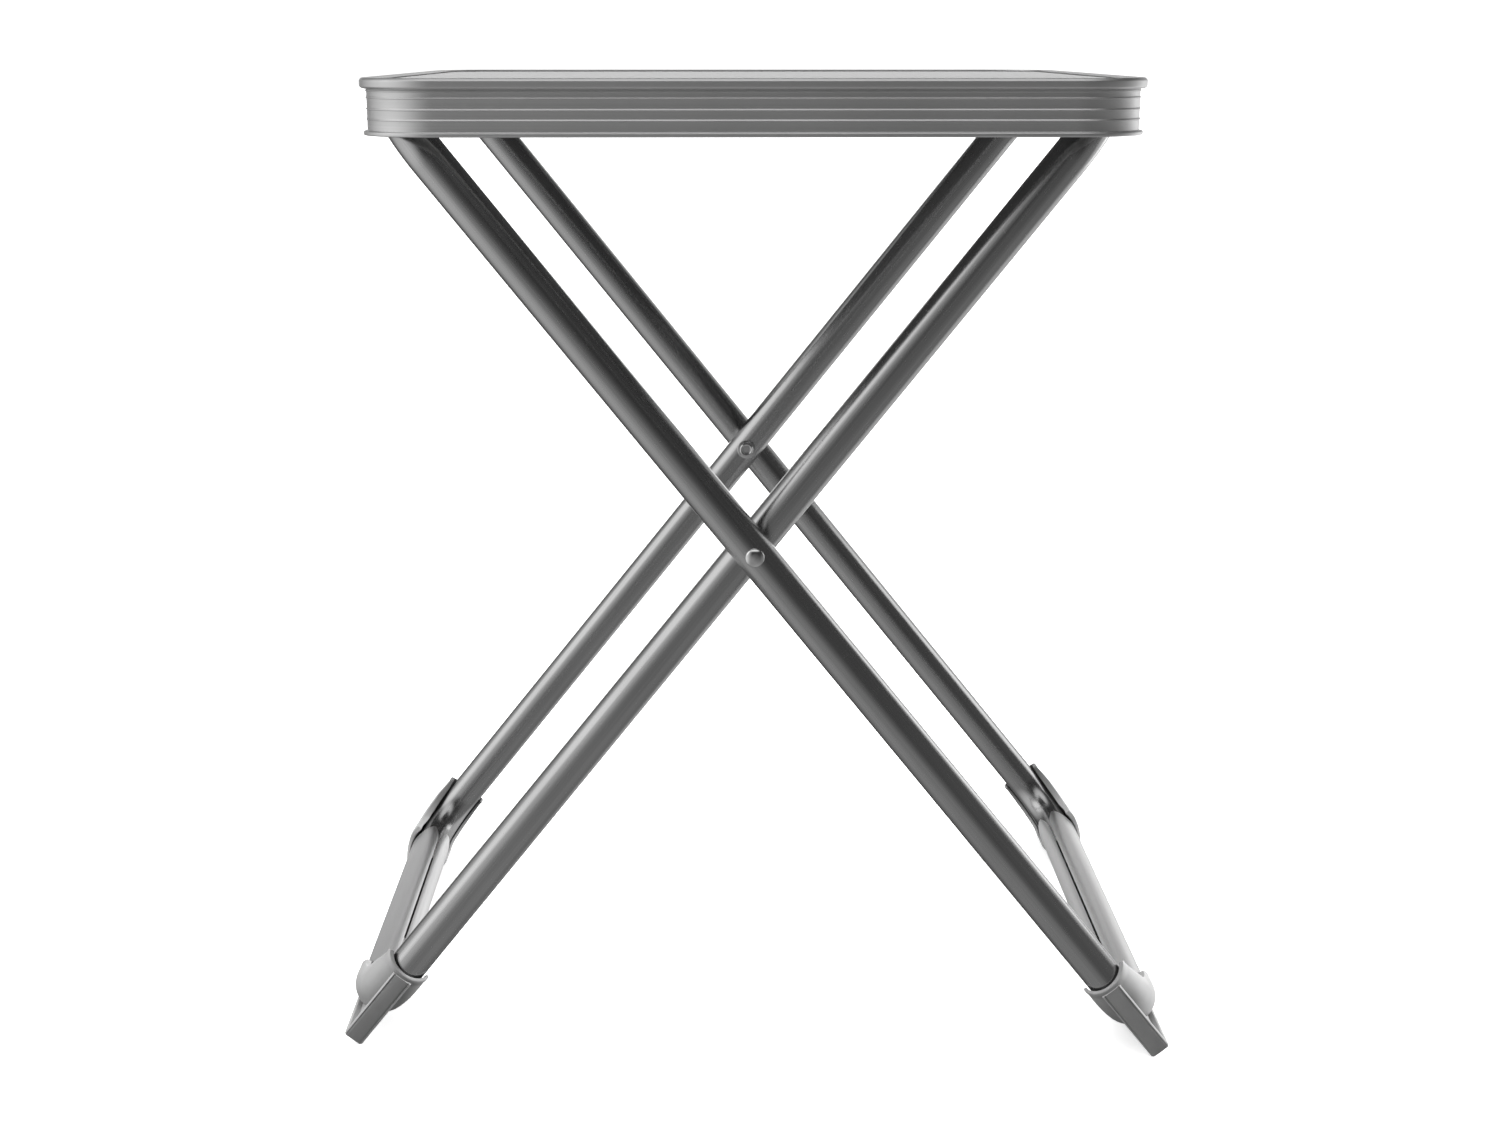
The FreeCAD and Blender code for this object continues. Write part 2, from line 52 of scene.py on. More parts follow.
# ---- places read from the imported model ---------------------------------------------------
joints = {j["name"]: Vector(j["pos_m"]) for j in frame["joints"]}
PIVOT, HINGE = joints["fold"], joints["tabletop_tilt"]
TOP_ARM = (HINGE - PIVOT).length
TUBE = 11 * MM        # radius of the leg tubes
BEND = 34 * MM        # radius of their bends, on the tube's axis
TAIL = 46 * MM        # straight end of a tube inside its crossbar
SLEEVE = 12.8 * MM    # outer radius of the crossbars
OUTER_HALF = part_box("outer_leg_frame")[1].y - TUBE
INNER_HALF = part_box("inner_leg_frame")[1].y - TUBE
UP = {"outer": (HINGE - PIVOT).normalized()}
UP["inner"] = Vector((-UP["outer"].x, 0, UP["outer"].z))
HALF = {"outer": OUTER_HALF, "inner": INNER_HALF}
sleeve_low, sleeve_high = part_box("outer_crossbar")
FOOT_ARM = ((sleeve_low + sleeve_high) / 2 - PIVOT).length


def spot(side, across, up):
    """A point in a leg frame's own plane: across along +Y, up the leg from the pivot."""
    return PIVOT + Y * across + UP[side] * up


# ---- mesh helpers ------------------------------------------------------------------------
STRAIGHT = radians(89.5)    # half of a corner's angle, above which it is left alone
MOST_OF_EDGE = 0.49         # the share of an edge that one closed corner may take


def ease(x):
    """A smooth step from 0 at 0 to 1 at 1."""
    x = min(1.0, max(0.0, x))
    return x * x * (3 - 2 * x)


def rounded(points, radii, steps=8, closed=True):
    """A 2D polygon or polyline with its corners turned into arcs."""
    made = []
    count = len(points)
    for i, here in enumerate(points):
        radius = radii[i] if isinstance(radii, (list, tuple)) else radii
        here = Vector(here)
        if radius <= 0 or (not closed and i in (0, count - 1)):
            made.append(here)
            continue
        a = Vector(points[i - 1]) - here
        b = Vector(points[(i + 1) % count]) - here
        reach_a, reach_b = a.length, b.length
        a, b = a.normalized(), b.normalized()
        half = a.angle(b) / 2
        if half > STRAIGHT:
            made.append(here)
            continue
        cut = radius / tan(half)
        if closed:
            cut = min(cut, reach_a * MOST_OF_EDGE, reach_b * MOST_OF_EDGE)
        radius = cut * tan(half)
        middle = here + (a + b).normalized() * (radius / sin(half))
        first, last = here + a * cut - middle, here + b * cut - middle
        turn = first.angle_signed(last)
        for k in range(steps + 1):
            angle = -turn * k / steps
            made.append(middle + Vector((first.x * cos(angle) - first.y * sin(angle),
                                         first.x * sin(angle) + first.y * cos(angle))))
    return made


def tangents(path, closed):
    """The direction of a path at each of its points."""
    made = []
    for i in range(len(path)):
        before = path[i - 1] if closed or i else path[0]
        after = path[(i + 1) % len(path)] if closed or i < len(path) - 1 else path[-1]
        made.append((after - before).normalized())
    return made


def bridge(bm, rings, lengths, closed_path=False):
    """Joins rings of points into a skin, with a map of metres along and round it."""
    uv = bm.loops.layers.uv.verify()
    verts = [[bm.verts.new(p) for p in ring] for ring in rings]
    size = len(rings[0])
    around = [0.0]
    for k in range(size):
        around.append(around[-1] + (rings[0][(k + 1) % size] - rings[0][k]).length)
    spans = len(rings) if closed_path else len(rings) - 1
    for i in range(spans):
        j = (i + 1) % len(rings)
        u0, u1 = lengths[i], lengths[i + 1]
        for k in range(size):
            m = (k + 1) % size
            face = bm.faces.new((verts[i][k], verts[i][m], verts[j][m], verts[j][k]))
            values = ((u0, around[k]), (u0, around[k + 1]), (u1, around[k + 1]), (u1, around[k]))
            for loop, value in zip(face.loops, values):
                loop[uv].uv = value
            face.smooth = True
    if not closed_path:
        for ring in (verts[0], verts[-1]):
            face = bm.faces.new(ring)
            for loop in face.loops:
                loop[uv].uv = (loop.vert.co.x, loop.vert.co.z)


def sweep(bm, path, section, normal, closed=False):
    """Carries a section along a flat path. section is points (out, across) or (out, across,
    shift along the path), or one such list for each point of the path; out is to the path's
    right in its plane."""
    runs = [0.0]
    for i in range(len(path)):
        runs.append(runs[-1] + (path[(i + 1) % len(path)] - path[i]).length)
    rings = []
    for i, (point, along) in enumerate(zip(path, tangents(path, closed))):
        out = along.cross(normal).normalized()
        ring = section[i] if isinstance(section[0], list) else section
        rings.append([point + out * q[0] + normal * q[1] + along * (q[2] if len(q) > 2 else 0.0)
                      for q in ring])
    bridge(bm, rings, runs, closed_path=closed)


def lathe(bm, origin, axis, profile, steps=72):
    """Turns (along, radius) points about an axis."""
    side = axis.orthogonal().normalized()
    other = axis.cross(side)
    turns = [2 * pi * k / steps for k in range(steps)]
    rings = []
    for along, radius in profile:
        # A ring on the axis keeps a tiny radius, so that its points stay apart.
        radius = max(radius, 0.01 * MM)
        rings.append([origin + axis * along + (side * cos(turn) + other * sin(turn)) * radius
                      for turn in turns])
    runs = [0.0]
    for (a0, r0), (a1, r1) in zip(profile, profile[1:]):
        runs.append(runs[-1] + hypot(a1 - a0, r1 - r0))
    bridge(bm, rings, runs + [runs[-1]])


def slab(bm, points, normal, thickness, bevel):
    """A flat plate: 3D outline points, extruded half its thickness to each side."""
    start = len(bm.faces)
    uv = bm.loops.layers.uv.verify()
    low = [bm.verts.new(p - normal * thickness / 2) for p in points]
    high = [bm.verts.new(p + normal * thickness / 2) for p in points]
    faces = [bm.faces.new(low), bm.faces.new(high)]
    for k in range(len(points)):
        m = (k + 1) % len(points)
        faces.append(bm.faces.new((low[k], low[m], high[m], high[k])))
    bmesh.ops.recalc_face_normals(bm, faces=faces)
    edges = [*faces[0].edges, *faces[1].edges]
    bmesh.ops.bevel(bm, geom=edges, offset=bevel, segments=3, affect="EDGES", profile=0.6)
    bm.faces.ensure_lookup_table()
    for face in bm.faces[start:]:
        for loop in face.loops:
            loop[uv].uv = (loop.vert.co.x, loop.vert.co.y)


def circle(radius, steps=56):
    turns = [2 * pi * k / steps for k in range(steps)]
    return [(radius * cos(turn), radius * sin(turn)) for turn in turns]


def smooth(mesh, sharp):
    """Smooth shading with sharp edges above an angle in degrees."""
    for polygon in mesh.polygons:
        polygon.use_smooth = True
    mesh.set_sharp_from_angle(angle=radians(sharp))


def piece(name, bm, body, slot, material, *nodes, sharp=32):
    """Turns a bmesh into a visible piece that rides a body and replaces CAD nodes."""
    bmesh.ops.recalc_face_normals(bm, faces=bm.faces)
    mesh = bpy.data.meshes.new(name)
    bm.to_mesh(mesh)
    bm.free()
    smooth(mesh, sharp)
    mesh.materials.append(material)
    made = bpy.data.objects.new(name, mesh)
    bpy.context.scene.collection.objects.link(made)
    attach(made, body)
    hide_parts(*nodes)


def soften(made, width):
    """Rounds the hard edges of a piece without changing its mesh."""
    modifier = made.modifiers.new("soft_edges", "BEVEL")
    modifier.width = width
    modifier.segments = 2
    modifier.limit_method = "ANGLE"
    modifier.angle_limit = radians(40)
    modifier.harden_normals = True


# ---- materials ---------------------------------------------------------------------------
class Shader:
    """A short way to write a node material."""

    def __init__(self, name, base, metallic=0.0, roughness=0.5, **sockets):
        self.material = bpy.data.materials.new(name)
        self.material.use_nodes = True
        self.tree = self.material.node_tree
        self.surface = self.tree.nodes["Principled BSDF"]
        self.set(self.surface, "Base Color", (*base, 1))
        self.set(self.surface, "Metallic", metallic)
        self.set(self.surface, "Roughness", roughness)
        for socket, value in sockets.items():
            self.set(self.surface, socket.replace("_", " "), value)

    def set(self, node, socket, value):
        node.inputs[socket].default_value = value

    def node(self, kind, **settings):
        made = self.tree.nodes.new(kind)
        for name, value in settings.items():
            setattr(made, name, value)
        return made

    def link(self, source, target, socket):
        self.tree.links.new(source, target.inputs[socket])

    def coordinates(self, kind="Object", scale=(1, 1, 1)):
        source = self.node("ShaderNodeTexCoord")
        mapping = self.node("ShaderNodeMapping")
        mapping.inputs["Scale"].default_value = scale
        self.link(source.outputs[kind], mapping, "Vector")
        return mapping.outputs["Vector"]

    def noise(self, vector, scale, detail=4.0, rough=0.55, distortion=0.0):
        made = self.node("ShaderNodeTexNoise")
        self.link(vector, made, "Vector")
        for socket, value in (("Scale", scale), ("Detail", detail), ("Roughness", rough),
                              ("Distortion", distortion)):
            self.set(made, socket, value)
        return made.outputs["Fac"]

    def span(self, value, low, high, start=0.0, end=1.0):
        """Maps start..end to low..high."""
        made = self.node("ShaderNodeMapRange")
        self.link(value, made, "Value")
        for socket, number in (("From Min", start), ("From Max", end),
                               ("To Min", low), ("To Max", high)):
            self.set(made, socket, number)
        return made.outputs["Result"]

    def math(self, operation, first, second):
        made = self.node("ShaderNodeMath", operation=operation)
        for index, value in enumerate((first, second)):
            if isinstance(value, (int, float)):
                made.inputs[index].default_value = value
            else:
                self.tree.links.new(value, made.inputs[index])
        return made.outputs["Value"]

    def shade(self, value, dark, light, start=0.0, end=1.0):
        """A grey ramp between two colours."""
        ramp = self.node("ShaderNodeValToRGB")
        self.link(value, ramp, "Fac")
        ramp.color_ramp.elements[0].position = start
        ramp.color_ramp.elements[0].color = (*dark, 1)
        ramp.color_ramp.elements[1].position = end
        ramp.color_ramp.elements[1].color = (*light, 1)
        return ramp.outputs["Color"]

    def edge(self):
        """1 on worn outer edges, 0 elsewhere."""
        geometry = self.node("ShaderNodeNewGeometry")
        return self.span(geometry.outputs["Pointiness"], 0.0, 1.0, 0.5, 0.58)

    def mix(self, factor, first, second):
        made = self.node("ShaderNodeMix", data_type="RGBA")
        self.link(factor, made, "Factor")
        # Sockets 6 and 7 are the two colours of the mix, and output 2 its colour.
        for index, value in ((6, first), (7, second)):
            if isinstance(value, tuple):
                made.inputs[index].default_value = (*value, 1)
            else:
                self.tree.links.new(value, made.inputs[index])
        return made.outputs[2]

    def bump(self, height, strength, distance):
        made = self.node("ShaderNodeBump")
        self.link(height, made, "Height")
        self.set(made, "Strength", strength)
        self.set(made, "Distance", distance)
        self.link(made.outputs["Normal"], self.surface, "Normal")

    def to(self, socket, source):
        self.link(source, self.surface, socket)


def drawn_metal(name, dark, light, roughness, streak=1.0, kind="UV", stretch=(4, 900, 1)):
    """Anodised metal with fine draw lines along its length, cloudy sheen and a few scuffs."""
    s = Shader(name, light, metallic=1.0, roughness=roughness)
    lines = s.noise(s.coordinates(kind, stretch), 1.0, 5.0, 0.6)
    cloud = s.noise(s.coordinates("Object"), 14.0, 3.0, 0.5)
    scuff = s.noise(s.coordinates("Object", (60, 60, 22)), 6.0, 8.0, 0.7, 0.6)
    tone = s.math("ADD", s.math("MULTIPLY", lines, 0.6), s.math("MULTIPLY", cloud, 0.4))
    s.to("Base Color", s.shade(tone, dark, light, 0.3, 0.7))
    low, high = roughness - 0.05 * streak, roughness + 0.06 * streak
    s.to("Roughness", s.math("ADD", s.span(lines, low, high, 0.3, 0.7),
                             s.span(scuff, 0.0, 0.12, 0.58, 0.75)))
    s.bump(s.math("ADD", s.math("MULTIPLY", lines, 0.7), s.math("MULTIPLY", scuff, 0.3)),
           0.12 * streak, 0.0002)
    return s.material


def moulded(name, dark, light, roughness):
    """Moulded plastic: fine spark grain, slight flow clouds, paler rubbed edges."""
    s = Shader(name, light, roughness=roughness)
    fine = s.noise(s.coordinates("Object"), 2600.0, 2.0, 0.5)
    flow = s.noise(s.coordinates("Object"), 45.0, 4.0, 0.55, 0.8)
    scuff = s.noise(s.coordinates("Object", (50, 50, 160)), 5.0, 8.0, 0.7)
    base = s.shade(flow, dark, light, 0.3, 0.7)
    worn = tuple(min(1.0, c * 1.25 + 0.02) for c in light)
    s.to("Base Color", s.mix(s.math("MULTIPLY", s.edge(), 0.5), base, worn))
    s.to("Roughness", s.math("ADD", s.span(flow, roughness - 0.05, roughness + 0.05, 0.3, 0.7),
                             s.span(scuff, 0.0, 0.1, 0.55, 0.75)))
    s.bump(s.math("ADD", s.math("MULTIPLY", fine, 0.7), s.math("MULTIPLY", scuff, 0.3)),
           0.10, 0.00012)
    return s.material


def laminate(name, dark, light, roughness):
    """Pale melamine face: faint fibre speckle and a light orange-peel gloss."""
    s = Shader(name, light, roughness=roughness)
    speckle = s.noise(s.coordinates("Object", (420, 420, 420)), 3.0, 3.0, 0.6)
    fibre = s.noise(s.coordinates("Object", (60, 900, 60)), 1.0, 5.0, 0.65)
    peel = s.noise(s.coordinates("Object"), 420.0, 2.0, 0.4)
    tone = s.math("ADD", s.math("MULTIPLY", speckle, 0.5), s.math("MULTIPLY", fibre, 0.5))
    s.to("Base Color", s.shade(tone, dark, light, 0.32, 0.62))
    s.to("Roughness", s.span(fibre, roughness - 0.05, roughness + 0.07, 0.3, 0.7))
    s.bump(s.math("ADD", s.math("MULTIPLY", peel, 0.6), s.math("MULTIPLY", fibre, 0.4)),
           0.08, 0.00015)
    return s.material


def grey(value):
    return (value, value, value)


EVEN = (300, 300, 300)    # a draw pattern without a direction
TUBE_METAL = drawn_metal("satin_tube", grey(0.42), grey(0.52), 0.23, 0.7)
RIM_METAL = drawn_metal("rim_extrusion", grey(0.62), grey(0.74), 0.44, 0.5,
                        stretch=(2, 3200, 1))
BAR_METAL = drawn_metal("crossbar_extrusion", grey(0.80), grey(0.88), 0.42, stretch=(5, 700, 1))
PIVOT_METAL = drawn_metal("bright_plate", grey(0.62), grey(0.74), 0.13, streak=0.4, kind="Object",
                          stretch=EVEN)
STRAP_METAL = drawn_metal("zinc_strip", grey(0.48), grey(0.62), 0.34, kind="Object",
                          stretch=(300, 60, 300))
RIVET_METAL = drawn_metal("plain_rivet", grey(0.5), grey(0.62), 0.3, streak=0.6, kind="Object",
                          stretch=(400, 400, 400))
FOOT_PLASTIC = moulded("foot_moulding", grey(0.24), grey(0.30), 0.38)
HOOK_PLASTIC = moulded("hook_moulding", grey(0.045), grey(0.065), 0.45)
SPACER_PLASTIC = moulded("spacer_moulding", grey(0.03), grey(0.05), 0.5)
# Painted shade: a near-black strip that stands in for the shadow in the gap between panel and rim.
GAP_PAINTED_SHADE = moulded("gap_painted_shade", grey(0.03), grey(0.045), 0.6)
# Painted shade: a dark sheet under the panel that stands in for the shade beneath it and at its
# edge.
PANEL_PAINTED_SHADE = laminate("panel_painted_shade_sheet", grey(0.08), grey(0.11), 0.55)
PANEL_FACE = laminate("panel_laminate", grey(0.27), grey(0.33), 0.5)


# ---- rim ---------------------------------------------------------------------------------
rim_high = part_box("rim_profile")[1]
TOP = rim_high.z
LIP = 3.0 * MM        # how far the top lip stands out
WALL_X, WALL_Y, CORNER = rim_high.x - LIP, rim_high.y - LIP, 40 * MM


def rounded_rectangle(half_x, half_y, radius, steps):
    corners = [(half_x, -half_y), (half_x, half_y), (-half_x, half_y), (-half_x, -half_y)]
    return rounded(corners, radius, steps)


def rim_section():
    """Across the extrusion: points (out, up) from the wall's top corner, in metres."""
    inside, face, rib = -1.3, -0.5, -0.05
    # Rows of out, down and corner radius, in mm, from the flange over the panel, down the
    # inside, round the bottom bead, up the ribbed face and round the lip.
    rows = [(-6.0, 0.0, 0.35), (-6.0, 1.2, 0.3), (inside, 1.2, 0.0), (inside, 4.2, 0.0),
            (-6.3, 4.2, 0.25), (-6.3, 5.4, 0.25), (inside, 5.4, 0.3), (inside, 30.0, 0.3),
            (1.6, 30.0, 0.8), (1.6, 27.7, 0.8), (face, 27.4, 0.35)]
    for down in (21.5, 16.1, 10.2, 6.6):
        rows += [(face, down + 0.55, 0.15), (rib, down + 0.35, 0.15),
                 (rib, down + 0.05, 0.15), (face, down - 0.65, 0.15)]
    rows += [(face, 5.9, 0.15), (1.8, 5.6, 0.5), (3.0, 4.7, 0.9), (3.0, 1.3, 1.0), (1.9, 0.0, 1.0)]
    points = [(out * MM, -down * MM) for out, down, _ in rows]
    return [tuple(p) for p in rounded(points, [radius * MM for _, _, radius in rows], 4)]


bm = bmesh.new()
loop = [Vector((p.x, p.y, TOP)) for p in rounded_rectangle(WALL_X, WALL_Y, CORNER, 24)]
sweep(bm, loop, rim_section(), Z, closed=True)
piece("rim", bm, "tabletop", "rim_aluminium", RIM_METAL, "rim_profile", sharp=40)

# ---- panel -------------------------------------------------------------------------------
panel_low, panel_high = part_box("tabletop_panel")
SET_BACK = 7.6 * MM    # from the rim's wall to the panel's edge
RAISE = 0.3 * MM       # half of the thickness that the face leaves to the dark sheet of painted shade under it
outline = [Vector((p.x, p.y, (panel_low.z + panel_high.z) / 2))
           for p in rounded_rectangle(WALL_X - SET_BACK, WALL_Y - SET_BACK, CORNER - SET_BACK, 16)]
bm = bmesh.new()
slab(bm, [p + Z * RAISE for p in outline], Z, panel_high.z - panel_low.z - 2 * RAISE,
     bevel=0.5 * MM)
piece("panel", bm, "tabletop", "panel_laminate", PANEL_FACE, "tabletop_panel", sharp=40)

SHADE_SHEET = 0.7 * MM     # thickness of the dark sheet under the panel, which is painted shade
bm = bmesh.new()
slab(bm, [Vector((p.x, p.y, panel_low.z + SHADE_SHEET / 2)) for p in outline], Z, SHADE_SHEET,
     bevel=0.1 * MM)
piece("panel_painted_shade_sheet", bm, "tabletop", "panel_laminate", PANEL_PAINTED_SHADE, "tabletop_panel", sharp=40)

bm = bmesh.new()
loop = [Vector((p.x, p.y, panel_low.z)) for p in rounded_rectangle(WALL_X, WALL_Y, CORNER, 16)]
# Points (out, up) in mm of a near-black strip between panel and rim, which is painted shade for
# the shadow in the gap.
gap_shade_points = [(-8.2, 0.15), (-1.5, 0.15), (-1.5, 2.9), (-5.6, 2.9), (-6.6, 2.5), (-8.2, 2.2)]
sweep(bm, loop, [(a * MM, b * MM) for a, b in gap_shade_points], Z, closed=True)
piece("panel_gap_painted_shade", bm, "tabletop", "panel_laminate", GAP_PAINTED_SHADE, "tabletop_panel", sharp=50)


# ---- leg frames --------------------------------------------------------------------------
def leg_path(side):
    """The axis of a frame's bent tube, from one end in the crossbar to the other."""
    half = HALF[side]
    end = half - BEND - TAIL
    corners = [(-end, -FOOT_ARM), (-half, -FOOT_ARM), (-half, TOP_ARM),
               (half, TOP_ARM), (half, -FOOT_ARM), (end, -FOOT_ARM)]
    flat = rounded(corners, BEND, 28, closed=False)
    return [spot(side, p.x, p.y) for p in flat]


for side in ("outer", "inner"):
    bm = bmesh.new()
    sweep(bm, leg_path(side), circle(TUBE), Y.cross(UP[side]))
    piece(side + "_tube", bm, side + "_frame", "tube_aluminium", TUBE_METAL, side + "_leg_frame")


# ---- crossbars ---------------------------------------------------------------------------
FINGER = 26 * MM         # length of the fingers at a crossbar's ends
SLIT = radians(3.2)      # half angle of the slit
SLIT_MOUTH = radians(20)    # what is added to it at the ends


def sleeve_ring(opening, inset, steps=36):
    """Section of the slit sleeve. opening is the half angle of the slit, in radians, and inset
    the distance from the sleeve's end, whose sides are cut back behind two narrow fingers."""
    lobe, bore = radians(34), TUBE + 0.05 * MM
    angles = [opening + (2 * pi - 2 * opening) * k / (steps * 2) for k in range(steps * 2 + 1)]
    made = []
    for radius, order in ((SLEEVE, angles), (bore, list(reversed(angles)))):
        for angle in order:
            near = min(angle, 2 * pi - angle)
            # The outside is drawn in at the slit and rounded at the sleeve's end.
            dip = 1.15 * MM * max(0.0, 1 - near / lobe) ** 1.6 if radius == SLEEVE else 0.0
            lip = 0.35 * MM * max(0.0, 1 - inset / (0.6 * MM)) if radius == SLEEVE else 0.0
            back = ease((near - radians(26)) / radians(62))
            cut = 13 * MM * back * max(0.0, 1 - inset / FINGER)
            reach = radius - dip - lip
            made.append((reach * cos(angle), reach * sin(angle), cut))
    return made


for side in ("outer", "inner"):
    reach = HALF[side] - BEND + 4 * MM
    # Distances of the sections from the sleeve's end, in mm.
    marks = [0, 0.15, 0.5, 1, 1.8, 3, 4.5, 6.5, 9, 12, 15, 18, 22, 26]
    spots, sections = [], []
    for across in [-reach + m * MM for m in marks] + [reach - m * MM for m in reversed(marks)]:
        inset = min(across + reach, reach - across)
        opening = SLIT + SLIT_MOUTH * max(0.0, 1 - inset / (20 * MM)) ** 1.7
        ring = sleeve_ring(opening, inset)
        spots.append(spot(side, across, -FOOT_ARM))
        sections.append([(a, b, c if across < 0 else -c) for a, b, c in ring])
    bm = bmesh.new()
    # The path runs along +Y, so its right-hand side is made to point up the leg.
    sweep(bm, spots, sections, UP[side].cross(Y))
    piece(side + "_bar", bm, side + "_frame", "crossbar_aluminium", BAR_METAL,
          side + "_crossbar", sharp=38)


# ---- feet --------------------------------------------------------------------------------
COLLAR_TOP = 38 * MM     # the shell's end up the leg, from the bar's axis
REACH = 66 * MM          # the shell's end along the bar, from the leg's axis
FIN_FRONT = 15.2 * MM    # the fin's outer edge, from the leg's axis
FIN_HALF = 6.4 * MM      # half the width of the fin's edge
WEB_THICK = 5.2 * MM     # thickness of the fin behind its edge
FIN_LIFT = 0.4 * MM      # keeps the fin's edge just above the floor plane
# Outer radius of the shell in mm at its lower side, middle and upper side: at the collar,
# added along the crossbar, and added over the bend.
SHELL = ((13.3, 0.9, 0.7), (13.8, 1.0, 0.0), (14.0, 0.5, 2.0))
# How the lower and the upper wall end at the bar: length of the taper in mm, and its angle.
TIPS = ((20, 50), (30, 62))


def shell_section(outer, inner, spreads, webs, slope):
    """Half ring that opens toward the inside of the bend. outer is its radius at the lower
    side, the middle and the upper side, spreads and webs the angle and the straight length of
    its lower and upper walls, slope that of its mouth."""

    def place(radius, angle, web, bulge=0.0):
        a = radius * cos(angle) - (web + bulge) * abs(sin(angle))
        b = radius * sin(angle) + (web + bulge) * cos(angle) * (1 if angle > 0 else -1)
        return (a, b, slope * max(a, -2 * MM))

    def radius_at(angle):
        side = outer[2] if angle > 0 else outer[0]
        return outer[1] + (side - outer[1]) * sin(angle) ** 2

    angles = [-spreads[0] + (spreads[0] + spreads[1]) * k / 36 for k in range(37)]
    made = [place(radius_at(a), a, 0.0) for a in angles]
    # The walls' rims are rounded over.
    for angle, web in ((spreads[1], webs[1]), (-spreads[0], webs[0])):
        thick = radius_at(angle) - inner
        corner = min(0.7 * MM, thick * 0.4)
        rim = [place(inner + thick, angle, web)]
        for k in (1, 2):
            turn = pi / 2 * k / 3
            rim.append(place(inner + thick - corner * (1 - cos(turn)), angle, web,
                             corner * sin(turn)))
        rim += [place(inner + thick - corner, angle, web, corner),
                place(inner + corner * 0.6, angle, web, corner),
                place(inner, angle, web, corner * 0.4)]
        if angle > 0:
            made += rim + [place(inner, a, 0.0) for a in reversed(angles)]
        else:
            made += reversed(rim)
    return made


